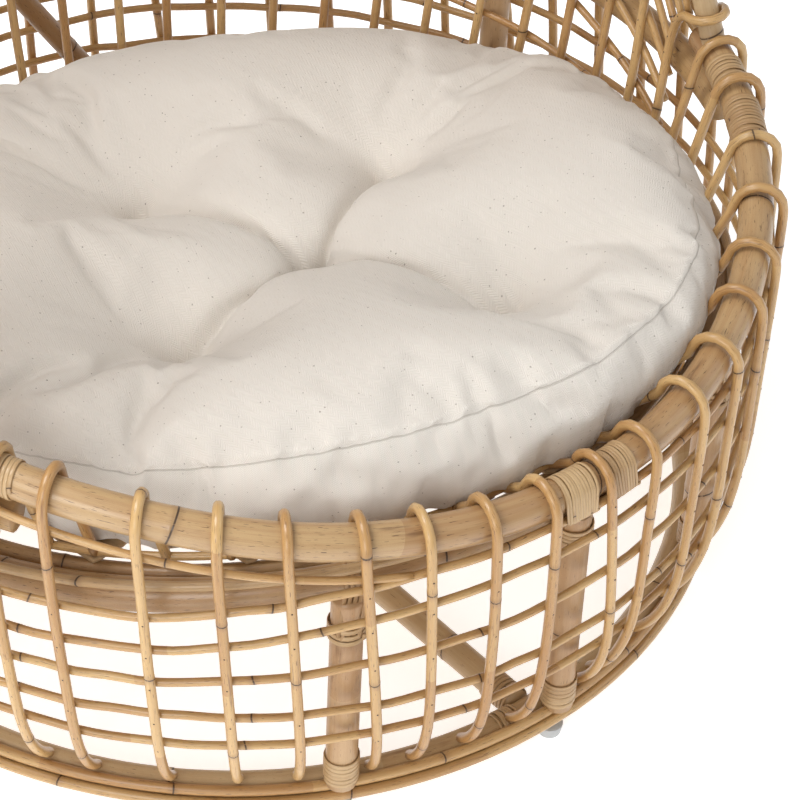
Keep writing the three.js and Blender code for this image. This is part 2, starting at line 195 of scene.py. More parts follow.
def hoopHeight(row, angle):
    swell = math.exp(-((abs(angle) / 42) ** 4))
    return wall["hoopLevels"][row] + wall["hoopLifts"][row] * swell


def upperWall(angle, outside, share):  # outside from the belt, inside from the seat, to the hood's edge
    out, over = edgeFrame(angle)
    reach = hood["poleRadius"] + wall["ribRadius"] + 0.0014
    start = around(angle, wall["radius"], belt["height"]) if outside else innerFoot(angle)
    rise = np.array([0, 0, 1.0]) if outside else unit(around(angle, wall["innerLean"], 1))
    end = edgePoint(angle) + out * (reach if outside else -reach)
    handle = 0.39 * np.linalg.norm(end - start)
    first, second = start + rise * handle, end - over * handle
    rest = 1 - share
    lower = rest ** 3 * start + 3 * rest ** 2 * share * first
    return lower + 3 * rest * share ** 2 * second + share ** 3 * end


# Round stock: canes and poles, many of them gathered into one mesh
class Bundle:
    def __init__(self):
        self.points, self.faces, self.uvs, self.tones, self.gaps = [], [], [], [], []

    def count(self):
        return sum(len(p) for p in self.points)

    # rings: (n, k, 3) points; along: (n) metres; the tone and gap are the stock's own numbers
    def skin(self, rings, along, closed, tone, gap):
        start = self.count()
        n, k = rings.shape[:2]
        self.points.append(rings.reshape(-1, 3))
        self.tones.append(np.full(n * k, tone))
        self.gaps.append(np.full(n * k, gap))
        spans = n if closed else n - 1
        for i in range(spans):
            near, far = start + i * k, start + ((i + 1) % n) * k
            u0 = along[i]
            u1 = along[i + 1] if i + 1 < n else along[i] + np.linalg.norm(rings[0, 0] - rings[i, 0])
            for j in range(k):
                after = (j + 1) % k
                self.faces.append((near + j, near + after, far + after, far + j))
                self.uvs += [(u0, j / k), (u0, (j + 1) / k), (u1, (j + 1) / k), (u1, j / k)]
        if not closed:
            self.faces.append(tuple(start + j for j in reversed(range(k))))
            self.uvs += [(along[0], 0.5)] * k
            self.faces.append(tuple(start + (n - 1) * k + j for j in range(k)))
            self.uvs += [(along[-1], 0.5)] * k

    def make(self, name, material, slot, replaced=(), body="frame"):
        points = np.concatenate(self.points)
        mesh = bpy.data.meshes.new(name)
        mesh.from_pydata(points.tolist(), [], self.faces)
        layer = mesh.uv_layers.new(name="alongAround")
        layer.data.foreach_set("uv", np.array(self.uvs, dtype=np.float32).ravel())
        for title, values in (("tone", self.tones), ("gap", self.gaps)):
            attribute = mesh.attributes.new(title, "FLOAT", "POINT")
            attribute.data.foreach_set("value", np.concatenate(values).astype(np.float32))
        piece = bpy.data.objects.new(name, mesh)
        bpy.context.scene.collection.objects.link(piece)
        mesh.polygons.foreach_set("use_smooth", [True] * len(mesh.polygons))
        return finishPiece(piece, material, replaced, body)


def named(word, place):  # "post" and "side_left" make "postSideLeft"
    return word + place.title().replace("_", "")


def pickOnly(piece):
    bpy.ops.object.select_all(action="DESELECT")
    piece.select_set(True)
    bpy.context.view_layer.objects.active = piece


def softenEdges(piece, width):
    bevel = piece.modifiers.new("softEdge", "BEVEL")
    bevel.width = width
    bevel.segments = 2
    bevel.limit_method = "ANGLE"
    bpy.ops.object.modifier_apply(modifier=bevel.name)


def finishPiece(piece, material, replaced=(), body="frame"):
    piece.data.materials.clear()
    piece.data.materials.append(material)
    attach(piece, body)
    if replaced:
        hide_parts(*replaced)
    return piece


def smoothRoute(points, step=0.004, closed=False):  # an even curve through the points
    knots = np.array(points, float)
    if closed:
        knots = np.vstack([knots[-2:], knots, knots[:3]])
    else:
        knots = np.vstack([2 * knots[0] - knots[1], knots, 2 * knots[-1] - knots[-2]])
    pieces = []
    for i in range(1, len(knots) - 2):
        a, b, c, d = knots[i - 1], knots[i], knots[i + 1], knots[i + 2]
        gaps = [max(np.linalg.norm(q - p) ** 0.5, 1e-4) for p, q in ((a, b), (b, c), (c, d))]
        inTangent = ((b - a) / gaps[0] - (c - a) / (gaps[0] + gaps[1]) + (c - b) / gaps[1]) * gaps[1]
        outTangent = ((c - b) / gaps[1] - (d - b) / (gaps[1] + gaps[2]) + (d - c) / gaps[2]) * gaps[1]
        steps = max(2, int(np.linalg.norm(c - b) / step))
        t = np.linspace(0, 1, steps, endpoint=False)[:, None]
        pieces.append((2 * t ** 3 - 3 * t ** 2 + 1) * b + (t ** 3 - 2 * t ** 2 + t) * inTangent
                      + (3 * t ** 2 - 2 * t ** 3) * c + (t ** 3 - t ** 2) * outTangent)
    route = np.vstack(pieces)
    if closed:
        first = int(np.argmin(np.linalg.norm(route - np.array(points[0]), axis=1)))
        length = len(route)
        route = route[first:]
        again = np.linalg.norm(route[20:] - route[0], axis=1)
        stop = 20 + int(np.argmin(again))
        return route[:stop] if stop < length else route
    return np.vstack([route, knots[-2]])


def wander(route, amount, rng, closed=False):  # real canes never run quite true
    lengths = np.concatenate([[0], np.cumsum(np.linalg.norm(np.diff(route, axis=0), axis=1))])
    share = lengths / lengths[-1]
    fade = np.ones(len(share)) if closed else np.minimum(1, np.minimum(share, 1 - share) * 8)
    moved = route.copy()
    for axis in range(3):
        for wave in (1, 2, 3, 5):
            waves = wave if closed else wave * max(lengths[-1], 0.5)
            phase = rng.uniform(0, 2 * math.pi)
            height = amount * rng.uniform(0.3, 1) / wave ** 0.5
            moved[:, axis] += fade * height * np.sin(2 * math.pi * waves * share + phase)
    return moved


def carried(route, closed):  # a normal and a side for every point, without twist
    ahead = np.roll(route, -1, axis=0) - route
    behind = route - np.roll(route, 1, axis=0)
    if not closed:
        ahead[-1], behind[0] = behind[-1], ahead[0]
    tangents = ahead / np.linalg.norm(ahead, axis=1)[:, None]
    tangents += behind / np.linalg.norm(behind, axis=1)[:, None]
    tangents /= np.linalg.norm(tangents, axis=1)[:, None]
    guide = np.array([1.0, 0, 0]) if abs(tangents[0][2]) > 0.9 else np.array([0, 0, 1.0])
    normals = []
    for t in tangents:
        guide = unit(guide - t * guide.dot(t))
        normals.append(guide)
    normals = np.array(normals)
    return normals, np.cross(tangents, normals)


# One length of cane or pole along a route, swollen at its knots
def layStock(bundle, route, radius, seed, sides=10, closed=False, gap=(0.13, 0.24), step=0.012, swell=0.06):
    rng = random.Random(seed)
    spacing = rng.uniform(*gap)
    shift = rng.uniform(0, spacing)
    lengths = np.concatenate([[0], np.cumsum(np.linalg.norm(np.diff(route, axis=0), axis=1))])
    total = lengths[-1]
    places = list(np.arange(0, total, step)) + ([] if closed else [total])
    knots = [k * spacing - shift for k in range(1, int((total + shift) / spacing) + 1)]
    for knot in knots:
        near = [knot + d for d in (-0.004, -0.0018, -0.0006, 0.0006, 0.0018, 0.004)]
        places += [place for place in near if 0.001 < place < total - 0.001]
    places = np.unique(np.round(places, 5))
    centre = np.stack([np.interp(places, lengths, route[:, i]) for i in range(3)], axis=1)
    near = (places + shift + spacing / 2) % spacing - spacing / 2
    bulge = 1 + swell * np.exp(-(near / 0.0026) ** 2) * np.where(np.abs(near) < 0.0005, 0.4, 1)
    bulge += 0.012 * np.sin(places * rng.uniform(9, 16) + rng.uniform(0, 6))
    normals, sidesOut = carried(centre, closed)
    turn = 2 * math.pi * (np.arange(sides) + 0.5) / sides
    ring = normals[:, None, :] * np.cos(turn)[None, :, None]
    ring = ring + sidesOut[:, None, :] * np.sin(turn)[None, :, None]
    rings = centre[:, None, :] + ring * (radius * bulge)[:, None, None]
    along = places + shift + spacing * rng.randrange(1, 60)
    bundle.skin(rings, along, closed, rng.random(), spacing)


# Flat peel wound round one or more poles; at(share) gives the circles' middles, their radii,
# the plane's two axes and the way along the winding
def windPeel(bundle, at, turns, seed, width=0.0042, thick=0.0013, steps=22, slack=0.0):
    rng = random.Random(seed)
    route, outs = [], []
    total = max(8, int(turns * steps))
    jitter = [rng.uniform(-1, 1) for _ in range(int(turns) + 3)]
    for i in range(total + 1):
        turned = i / steps
        middles, radii, right, upward, forward = at(min(turned / turns, 1.0))
        angle = 2 * math.pi * turned
        direction = right * math.cos(angle) + upward * math.sin(angle)
        best = max(range(len(middles)), key=lambda m: middles[m].dot(direction) + radii[m])
        lift = radii[best] + thick * 0.5 + slack * abs(jitter[int(turned)])
        skew = forward * 0.0009 * jitter[int(turned)] * math.sin(angle)
        route.append(middles[best] + direction * lift + skew)
        outs.append(direction)
    route = np.array(route)
    outs = np.array(outs)
    ahead = np.gradient(route, axis=0)
    ahead /= np.linalg.norm(ahead, axis=1)[:, None]
    outs -= ahead * np.sum(outs * ahead, axis=1)[:, None]
    outs /= np.linalg.norm(outs, axis=1)[:, None]
    across = np.cross(ahead, outs)
    shape = [(-0.5, -0.34), (0.2, -0.46), (0.5, -0.24), (0.5, 0.24), (0.2, 0.46), (-0.5, 0.34)]
    rings = np.stack([route + outs * thick * up + across * width * side for up, side in shape], axis=1)
    along = np.concatenate([[0], np.cumsum(np.linalg.norm(np.diff(route, axis=0), axis=1))])
    bundle.skin(rings, along + rng.uniform(0, 5), False, rng.random(), 0.6)


# Shader maths on sockets
class Wire:
    def __init__(self, tree, socket):
        self.tree, self.socket = tree, socket

    def join(self, operation, first, second=None, third=None):
        node = self.tree.nodes.new("ShaderNodeMath")
        node.operation = operation
        for slotIn, value in zip(node.inputs, (first, second, third)):
            if isinstance(value, Wire):
                self.tree.links.new(value.socket, slotIn)
            elif value is not None:
                slotIn.default_value = value
        return Wire(self.tree, node.outputs[0])

    def __add__(self, other):
        return self.join("ADD", self, other)

    __radd__ = __add__

    def __sub__(self, other):
        return self.join("SUBTRACT", self, other)

    def __rsub__(self, other):
        return self.join("SUBTRACT", other, self)

    def __mul__(self, other):
        return self.join("MULTIPLY", self, other)

    __rmul__ = __mul__

    def __truediv__(self, other):
        return self.join("DIVIDE", self, other)

    def __abs__(self):
        return self.join("ABSOLUTE", self)

    def part(self, name):  # FRACT, FLOOR, SINE, COSINE
        return self.join(name, self)

    def within(self, low, high):  # 0 at low, 1 at high, smooth between
        node = self.tree.nodes.new("ShaderNodeMapRange")
        node.interpolation_type = "SMOOTHSTEP"
        node.inputs["From Min"].default_value = low
        node.inputs["From Max"].default_value = high
        self.tree.links.new(self.socket, node.inputs["Value"])
        return Wire(self.tree, node.outputs["Result"])


class Finish:
    def __init__(self, name):
        self.material = bpy.data.materials.new(name)
        self.material.use_nodes = True
        self.tree = self.material.node_tree
        self.tree.nodes.clear()
        self.shader = self.tree.nodes.new("ShaderNodeBsdfPrincipled")
        output = self.tree.nodes.new("ShaderNodeOutputMaterial")
        self.tree.links.new(self.shader.outputs[0], output.inputs[0])

    def put(self, kind, settings=None, **sockets):  # any node: its settings first, then its sockets
        node = self.tree.nodes.new(kind)
        for key, value in (settings or {}).items():
            setattr(node, key, value)
        for key, value in sockets.items():
            self.feed(node.inputs[key.replace("_", " ")], value)
        return node

    def feed(self, socket, value):
        if isinstance(value, Wire):
            self.tree.links.new(value.socket, socket)
        elif isinstance(value, bpy.types.NodeSocket):
            self.tree.links.new(value, socket)
        else:
            socket.default_value = value

    def wire(self, socket):
        return Wire(self.tree, socket)

    def noise(self, vector, scale, detail=2.0, roughness=0.5):
        node = self.put("ShaderNodeTexNoise", None, Vector=vector, Scale=scale, Detail=detail,
                        Roughness=roughness)
        return self.wire(node.outputs["Fac"])

    def vector(self, x, y, z):
        return self.put("ShaderNodeCombineXYZ", None, X=x, Y=y, Z=z).outputs[0]

    def mix(self, share, first, second):
        node = self.put("ShaderNodeMix", {"data_type": "RGBA"})
        self.feed(node.inputs[0], share)
        for place, value in ((6, first), (7, second)):
            if isinstance(value, tuple):
                value = (*value, 1)
            self.feed(node.inputs[place], value)
        return node.outputs[2]

    def bump(self, height, distance, strength=1.0):
        node = self.put("ShaderNodeBump", None, Strength=strength, Distance=distance, Height=height)
        self.feed(self.shader.inputs["Normal"], node.outputs[0])

    def set(self, **sockets):
        for key, value in sockets.items():
            if isinstance(value, tuple):
                value = (*value, 1)
            self.feed(self.shader.inputs[key.replace("_", " ")], value)
        return self.material


# Rattan in its several finishes: pale and warm tones, knots, streaks, dark patches of painted shade and
# specks; one copy is darker, painted shade for the pieces inside and behind the wall
rattanFinishes = {
    "caneFinish": {"pale": (0.60, 0.39, 0.165), "warm": (0.41, 0.21, 0.07), "brown": (0.20, 0.09, 0.035),
                   "ring": 0.00055, "gloss": 0.29, "specks": 0.66, "turns": 1.3},
    "rimFinish": {"pale": (0.50, 0.335, 0.165), "warm": (0.35, 0.19, 0.08), "brown": (0.14, 0.062, 0.024),
                  "ring": 0.0006, "gloss": 0.30, "specks": 0.67, "turns": 3.4},
    "postFinish": {"pale": (0.55, 0.37, 0.20), "warm": (0.43, 0.25, 0.115), "brown": (0.22, 0.11, 0.045),
                   "ring": 0.0006, "gloss": 0.40, "specks": 0.70, "turns": 3.4},
    "poleFinish": {"pale": (0.58, 0.44, 0.26), "warm": (0.46, 0.30, 0.145), "brown": (0.25, 0.13, 0.055),
                   "ring": 0.0006, "gloss": 0.40, "specks": 0.70, "turns": 3.4},
    # painted shade: a darker copy of the cane and pole finishes for the belt pole, rear braces, deck ring and
    # outer hood hoops
    "innerShadeFinish": {"pale": (0.45, 0.29, 0.13), "warm": (0.33, 0.18, 0.07), "brown": (0.17, 0.08, 0.03),
                    "ring": 0.0005, "gloss": 0.42, "specks": 0.66, "turns": 2.0},
    "peelFinish": {"pale": (0.54, 0.37, 0.19), "warm": (0.38, 0.225, 0.10), "brown": (0.20, 0.10, 0.04),
                   "ring": 0.0004, "gloss": 0.42, "specks": 0.72, "turns": 0.8},
}


def rattanMaterial(name):
    want = rattanFinishes[name]
    make = Finish(name)
    uv = make.put("ShaderNodeUVMap", {"uv_map": "alongAround"}).outputs[0]
    split = make.put("ShaderNodeSeparateXYZ", None, Vector=uv)
    along, about = make.wire(split.outputs[0]), make.wire(split.outputs[1])
    tone = make.wire(make.put("ShaderNodeAttribute", {"attribute_name": "tone"}).outputs["Fac"])
    gap = make.wire(make.put("ShaderNodeAttribute", {"attribute_name": "gap"}).outputs["Fac"])
    turn = about * (2 * math.pi)
    east, north = turn.part("COSINE"), turn.part("SINE")
    slanted = along + (turn + tone * 6.3).part("SINE") * (0.0007 * want["turns"])
    passed = slanted / gap + 0.5
    length = passed.part("FLOOR")
    offKnot = abs(passed.part("FRACT") - 0.5) * gap
    place = make.vector(length, tone * 91, 0.0)
    shade = make.put("ShaderNodeTexWhiteNoise", {"noise_dimensions": "2D"}, Vector=place)
    own = make.wire(shade.outputs["Value"])
    turns = want["turns"]
    patches = make.vector(along * 9 + tone * 70, east * 0.9 * turns, north * 0.9 * turns)
    patches = make.noise(patches, 1.0, 3.0)
    fine = make.noise(make.vector(along * 26 + tone * 50, east * 7 * turns, north * 7 * turns), 1.0, 4.0, 0.6)
    hair = make.noise(make.vector(along * 60, east * 22 * turns, north * 22 * turns), 1.0, 2.0)
    lean = (own * 0.55 + tone * 0.35 + patches * 0.9 - 0.45).within(0.1, 0.95)
    colour = make.mix(lean, want["pale"], want["warm"])
    streak = fine.within(0.5, 0.72) * 0.5
    colour = make.mix(streak, colour, want["warm"])
    light = (1 - fine).within(0.55, 0.8) * 0.3
    colour = make.mix(light, colour, tuple(min(1, c * 1.22) for c in want["pale"]))
    # painted shade: random dark brown patches along and around each cane, darkening standing in for occlusion
    shadePatches = make.noise(make.vector(along * 16 + tone * 33, east * 1.3, north * 1.3), 1.0, 3.0, 0.6)
    shadePatches = shadePatches.within(0.6, 0.76) * 0.7
    colour = make.mix(shadePatches, colour, want["brown"])
    specks = make.vector(along * 120 + tone * 91, east * 5.5 * turns, north * 5.5 * turns)
    specks = make.noise(specks, 1.0, 1.0)
    specks = specks.within(want["specks"], want["specks"] + 0.05) * 0.75
    colour = make.mix(specks, colour, tuple(c * 0.5 for c in want["brown"]))
    halo = (1 - offKnot.within(0.0, 0.007)) * 0.35
    colour = make.mix(halo, colour, want["brown"])
    breaks = make.noise(make.vector(length, east * 2, north * 2), 3.0, 1.0).within(0.3, 0.42)
    ring = (1 - offKnot.within(want["ring"] * 0.6, want["ring"] * 1.9)) * (breaks * 0.6 + 0.4)
    colour = make.mix(ring * 0.92, colour, tuple(c * 0.22 for c in want["brown"]))
    make.bump(fine * 0.3 + hair * 0.25 - ring * 0.9 - specks * 0.2, 0.0004, 0.55)
    return make.set(Base_Color=colour, Roughness=want["gloss"] + fine * 0.18 + ring * 0.2,
                    Coat_Weight=0.35, Coat_Roughness=0.22)


finish = {name: rattanMaterial(name) for name in rattanFinishes}


def nailMaterial():
    make = Finish("nailHead")
    spot = make.put("ShaderNodeTexCoord").outputs["Object"]
    rust = make.noise(spot, 900.0, 2.0)
    colour = make.mix(rust, (0.035, 0.02, 0.012), (0.10, 0.055, 0.03))
    return make.set(Base_Color=colour, Metallic=0.3, Roughness=0.5 + rust * 0.2)


def slatMaterial():
    make = Finish("splitSlat")
    spot = make.put("ShaderNodeTexCoord").outputs["Object"]
    split = make.put("ShaderNodeSeparateXYZ", None, Vector=spot)
    x, y, z = (make.wire(split.outputs[i]) for i in range(3))
    grain = make.noise(make.vector(x * 420, y * 9, z * 40), 1.0, 4.0, 0.6)
    broad = make.noise(make.vector(x * 40, y * 3, z * 3), 1.0, 2.0)
    colour = make.mix(grain, (0.60, 0.45, 0.27), (0.42, 0.27, 0.13))
    colour = make.mix(broad.within(0.4, 0.8) * 0.5, colour, (0.33, 0.19, 0.08))
    make.bump(grain, 0.0004, 0.5)
    return make.set(Base_Color=colour, Roughness=0.52 + grain * 0.2)


def glideMaterial():
    make = Finish("mouldedPlastic")
    spot = make.put("ShaderNodeTexCoord").outputs["Object"]
    grain = make.noise(spot, 1400.0, 2.0)
    scuff = make.noise(spot, 90.0, 4.0, 0.7).within(0.45, 0.75)
    colour = make.mix(scuff * 0.5, (0.50, 0.52, 0.53), (0.34, 0.34, 0.33))
    make.bump(grain, 0.0001, 0.4)
    return make.set(Base_Color=colour, Roughness=0.42 + scuff * 0.25)


finish["nail"] = nailMaterial()
finish["slat"] = slatMaterial()
finish["glide"] = glideMaterial()
print("finishes made")


# Base: the floor ring with its two trim canes, the stretcher and the glides
stretcher = {"radius": 0.012, "frontAngle": -4.5, "backAngle": 180, "gap": 0.0006}


def ringRoute(radius, height, steps=120):
    return np.array([around(360 * i / steps, radius, height) for i in range(steps)])


def stretcherPoint(share):  # from its front end, beside the front post, to the back
    reach = base["ringRadius"] - base["poleRadius"] - stretcher["gap"]
    front = around(stretcher["frontAngle"], reach, base["poleHeight"])
    back = around(stretcher["backAngle"], reach, base["poleHeight"])
    return front + (back - front) * share


def makeBase():
    pole = Bundle()
    route = ringRoute(base["ringRadius"], base["poleHeight"])
    layStock(pole, route, base["poleRadius"], 11, sides=16, closed=True, gap=(0.3, 0.38), swell=0.035,
             step=0.014)
    pole.make("baseRing", finish["poleFinish"], "pole", ["base_pole"])
    reach = base["poleRadius"] + base["trimRadius"]
    trims = (("base_trim_lower", 0.003, 0.0, 12), ("base_trim_upper", 0.0129, 0.0012, 13))
    for node, lift, extra, seed in trims:
        out = math.sqrt(reach ** 2 - lift ** 2) + extra
        trim = Bundle()
        route = ringRoute(base["ringRadius"] + out, base["poleHeight"] + lift)
        layStock(trim, route, base["trimRadius"], seed, closed=True, gap=(0.2, 0.27), swell=0.05)
        trim.make(named("baseTrim", node[-5:]), finish["caneFinish"], "trim", [node])
    bar = Bundle()
    route = np.linspace(stretcherPoint(0), stretcherPoint(1), 40)
    layStock(bar, route, stretcher["radius"], 14, sides=14, gap=(0.26, 0.34), swell=0.04)
    bar.make("baseStretcher", finish["poleFinish"], "pole", ["base_stretcher"])


glide = {"bevel": 0.00088, "taper": 0.84, "inset": 0.003, "softEdge": 0.0007}


def makeGlides():
    for place in posts:
        low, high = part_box("glide_" + place)
        middle = (low + high) / 2
        bpy.ops.object.select_all(action="DESELECT")
        bpy.ops.mesh.primitive_cylinder_add(vertices=32, radius=(high.x - low.x) / 2,
                                            depth=high.z - low.z, location=middle)
        foot = bpy.context.object
        foot.name = named("glide", place)
        bpy.ops.object.mode_set(mode="EDIT")
        shape = bmesh.from_edit_mesh(foot.data)
        for face in shape.faces:
            face.select = face.normal.z < -0.9
        shape.select_flush_mode()
        bmesh.update_edit_mesh(foot.data)
        bpy.ops.transform.resize(value=(glide["taper"], glide["taper"], 1))
        bpy.ops.mesh.inset(thickness=glide["inset"])
        bpy.ops.mesh.bevel(offset=glide["bevel"], segments=2)
        bpy.ops.object.mode_set(mode="OBJECT")
        bpy.ops.object.transform_apply(location=True, rotation=True, scale=True)
        softenEdges(foot, glide["softEdge"])
        bpy.ops.object.shade_smooth_by_angle(angle=math.radians(40))
        finishPiece(foot, finish["glide"], ["glide_" + place])


# Uprights: six posts, and two braces that lean together behind the seat
def makePosts():
    for index, place in enumerate(posts):
        low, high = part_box("post_" + place)
        x, y = (low.x + high.x) / 2, (low.y + high.y) / 2
        route = np.array([[x, y, z] for z in np.linspace(low.z - 0.004, high.z + 0.006, 24)])
        post = Bundle()
        layStock(post, route, upright["radius"], 20 + index, sides=16, gap=(0.2, 0.3), swell=0.035)
        post.make(named("post", place), finish["postFinish"], "pole", ["post_" + place])
    for side, place in ((1, "right"), (-1, "left")):
        foot = around(side * upright["braceFoot"], upright["circle"] + 0.003, base["poleHeight"] + 0.025)
        head = around(side * upright["braceHead"], upright["circle"], belt["height"] - 0.022)
        brace = Bundle()
        route = np.linspace(foot, head, 30)
        layStock(brace, route, upright["braceRadius"], 30 + side, sides=14, gap=(0.17, 0.24), swell=0.04)
        # the braces take the darker inner copy: painted shade
        brace.make(named("rearBrace", place), finish["innerShadeFinish"], "pole", ["brace_rear_" + place])


# Seat: the tilted ring, its nailing cane, the deck ring and the split slats
def seatRoute(radius, lift=0.0, steps=120):
    return np.array([seatPoint(360 * i / steps, radius, lift) for i in range(steps)])


def makeSeat():
    ring = Bundle()
    route = seatRoute(seat["ringRadius"])
    layStock(ring, route, seat["poleRadius"], 41, sides=16, closed=True, gap=(0.31, 0.4), swell=0.03)
    nailing = wander(seatRoute(seat["ringRadius"] + 0.009, 0.0155), 0.0006, random.Random(4), True)
    layStock(ring, nailing, 0.0042, 42, closed=True, gap=(0.2, 0.3))
    ring.make("seatRing", finish["rimFinish"], "pole", ["seat_ring"])
    deck = Bundle()
    layStock(deck, seatRoute(seat["deckRingRadius"]), seat["deckRadius"], 43, sides=12, closed=True,
             gap=(0.2, 0.3))
    # the deck ring takes the darker inner copy: painted shade
    deck.make("deckRing", finish["innerShadeFinish"], "pole", ["deck_ring"])


slats = {"width": 0.034, "thick": 0.004, "count": 9, "pitch": 0.076, "overhang": 0.006,
         "bearerHalf": 0.32, "crown": 0.0012, "wave": 0.0005, "softEdge": 0.0009}


def seatSpot(y, lift):  # back along the tilted seat from its middle, and out of it
    across, out = math.cos(seat["tilt"]), math.sin(seat["tilt"])
    back = -seat["forward"] + y * across + lift * out
    return Vector((0, back, seatHeight(-seat["forward"]) - y * out + lift * across))


def makeSlats():
    made = []
    rng = random.Random(5)
    reach = seat["deckRingRadius"] + slats["overhang"]
    for i in range(slats["count"] + 1):
        x = (i - (slats["count"] - 1) / 2) * slats["pitch"]
        bearer = i == slats["count"]  # the last one lies crosswise under the others
        half = slats["bearerHalf"]
        if not bearer:
            half = math.sqrt(reach ** 2 - (abs(x) + slats["width"] / 2) ** 2)
        lift = seat["deckRadius"] + slats["thick"] / 2
        bpy.ops.object.select_all(action="DESELECT")
        bpy.ops.mesh.primitive_cube_add(size=1, location=(0, 0, 0))
        slat = bpy.context.object
        slat.scale = (slats["width"], 2 * half, slats["thick"])
        bpy.ops.object.transform_apply(location=False, rotation=False, scale=True)
        bpy.ops.object.mode_set(mode="EDIT")
        bpy.ops.mesh.select_all(action="SELECT")
        bpy.ops.mesh.subdivide(number_cuts=5, smoothness=0)
        bpy.ops.mesh.vertices_smooth(factor=0.15, repeat=1)
        bpy.ops.object.mode_set(mode="OBJECT")
        for v in slat.data.vertices:
            v.co.z += slats["crown"] * math.cos(v.co.x / slats["width"] * math.pi)
            v.co.z += slats["wave"] * math.sin(v.co.y * 17 + i)
        if bearer:
            slat.data.transform(Matrix.Rotation(math.pi / 2, 4, "Z"))
            x, lift = 0.0, lift - slats["thick"] * 0.95
        slat.rotation_euler = (-seat["tilt"], 0, 0)
        slat.location = seatSpot(rng.uniform(-0.002, 0.002), lift)
        slat.location.x = x
        bpy.ops.object.transform_apply(location=True, rotation=True, scale=True)
        softenEdges(slat, slats["softEdge"])
        made.append(slat)
    bpy.ops.object.select_all(action="DESELECT")
    for slat in made:
        slat.select_set(True)
    bpy.context.view_layer.objects.active = made[0]
    bpy.ops.object.join()
    deck = bpy.context.object
    deck.name = "deckSlats"
    bpy.ops.object.shade_smooth_by_angle(angle=math.radians(50))
    finishPiece(deck, finish["slat"], ["deck_slats"])


# Edge: the front rim, the belt pole, and the hood's pole
def makeEdges():
    front = Bundle()
    route = np.array([rimPoint(a) for a in np.linspace(-70, 70, 141)])
    route = wander(route, 0.0007, random.Random(6))
    layStock(front, route, rim["poleRadius"], 51, sides=18, gap=(0.33, 0.36), swell=0.03)
    front.make("frontRim", finish["rimFinish"], "pole", ["rim_front"])
    band = Bundle()
    route = np.array([around(a, belt["radius"], belt["height"]) for a in np.linspace(63.4, 296.6, 160)])
    layStock(band, route, belt["poleRadius"], 52, sides=16, gap=(0.3, 0.4), swell=0.03)
    # the belt pole takes the darker inner copy: painted shade
    band.make("beltPole", finish["innerShadeFinish"], "pole", ["belt_pole"])
    over = Bundle()
    angles = np.linspace(rim["jointAngle"] + 0.2, 180, 90)
    right = [edgePoint(a) for a in angles]
    left = [edgePoint(-a) for a in angles]
    entry = [rimPoint(64.5), rimPoint(66)]
    leave = [rimPoint(-66), rimPoint(-64.5)]
    route = smoothRoute([*entry, *right[4::3], *reversed(left[4:-1:3]), *leave], 0.01)
    layStock(over, route, hood["poleRadius"], 53, sides=14, gap=(0.26, 0.34), swell=0.035)
    over.make("hoodPole", finish["poleFinish"], "pole", ["hood_pole"])


# Wall: fifty canes looped over the edge, each nailed to the hoops
ribs = {"jitter": 0.35, "wander": 0.0007, "loopGap": 0.0012}
ribNudges = {-8: -1.0, -7: 0.6, -6: 1.1, -5: 0.7, -4: 0.8, -3: 0.1, -2: -0.3, -1: -0.6, 0: -0.9,
             1: -1.6, 2: -0.4, 6: 0.7, 7: 1.6, 8: 2.9, 9: 2.0}  # degrees off the even spacing
ribPanels = {"ribs_front": (-3, 3), "ribs_front_right": (4, 9), "ribs_front_left": (-9, -4),
             "ribs_side_right": (10, 15), "ribs_rear_right": (16, 21), "ribs_rear": (22, 28),
             "ribs_rear_left": (29, 34), "ribs_side_left": (35, 40)}


def innerFoot(angle):  # over the deck ring and the ends of the slats
    return seatPoint(angle, seat["deckRingRadius"], seat["deckRadius"] + slats["thick"] + wall["ribRadius"])


def ribRoute(angle, rng):
    front = abs(angle) <= rim["jointAngle"]
    top = rimHeight(angle) - 0.008 if front else belt["height"]
    foot = base["poleHeight"] + wall["footLift"] - 0.003
    heights = [foot + rise for rise in (0, 0.008, 0.018, 0.036, 0.065, 0.1)]
    heights.append((foot + 0.1 + top) / 2)
    points = [outerPoint(angle, z) for z in heights]
    if not front:
        points.append(outerPoint(angle, top))
        points += [upperWall(angle, True, share) for share in np.linspace(0.08, 0.97, 14)]
    out, over = edgeFrame(angle)
    pole = rim["poleRadius"] if front else hood["poleRadius"]
    reach = pole + wall["ribRadius"] + ribs["loopGap"]
    atWall = wall["radius"] - rim["radius"] if front else reach
    rise = rng.uniform(0.0, 0.0035)
    for i in range(9):
        turn = math.pi * i / 8
        outward = atWall if turn < math.pi / 2 else reach
        crown = (reach + rise) * math.sin(turn)
        points.append(edgePoint(angle) + out * outward * math.cos(turn) + over * crown)
    end = innerFoot(angle)
    if front:
        points += [points[-1] * share + end * (1 - share) for share in (0.8, 0.5, 0.2)]
    else:
        points += [upperWall(angle, False, share) for share in np.linspace(0.97, 0.03, 16)]
    points.append(end)
    return wander(smoothRoute(points, 0.004), ribs["wander"], rng)


def nail(bundle, point, outward):
    route = np.array([point - outward * 0.0009, point + outward * 0.0001])
    rings = []
    guide = unit(np.cross(outward, [0.3, 0.2, 0.9]))
    other = np.cross(outward, guide)
    for at, size in ((route[0], 0.00105), (route[1], 0.0008)):
        turns = np.arange(6) * math.pi / 3
        rings.append([at + (guide * math.cos(t) + other * math.sin(t)) * size for t in turns])
    bundle.skin(np.array(rings), [0, 0.001], False, 0, 1)


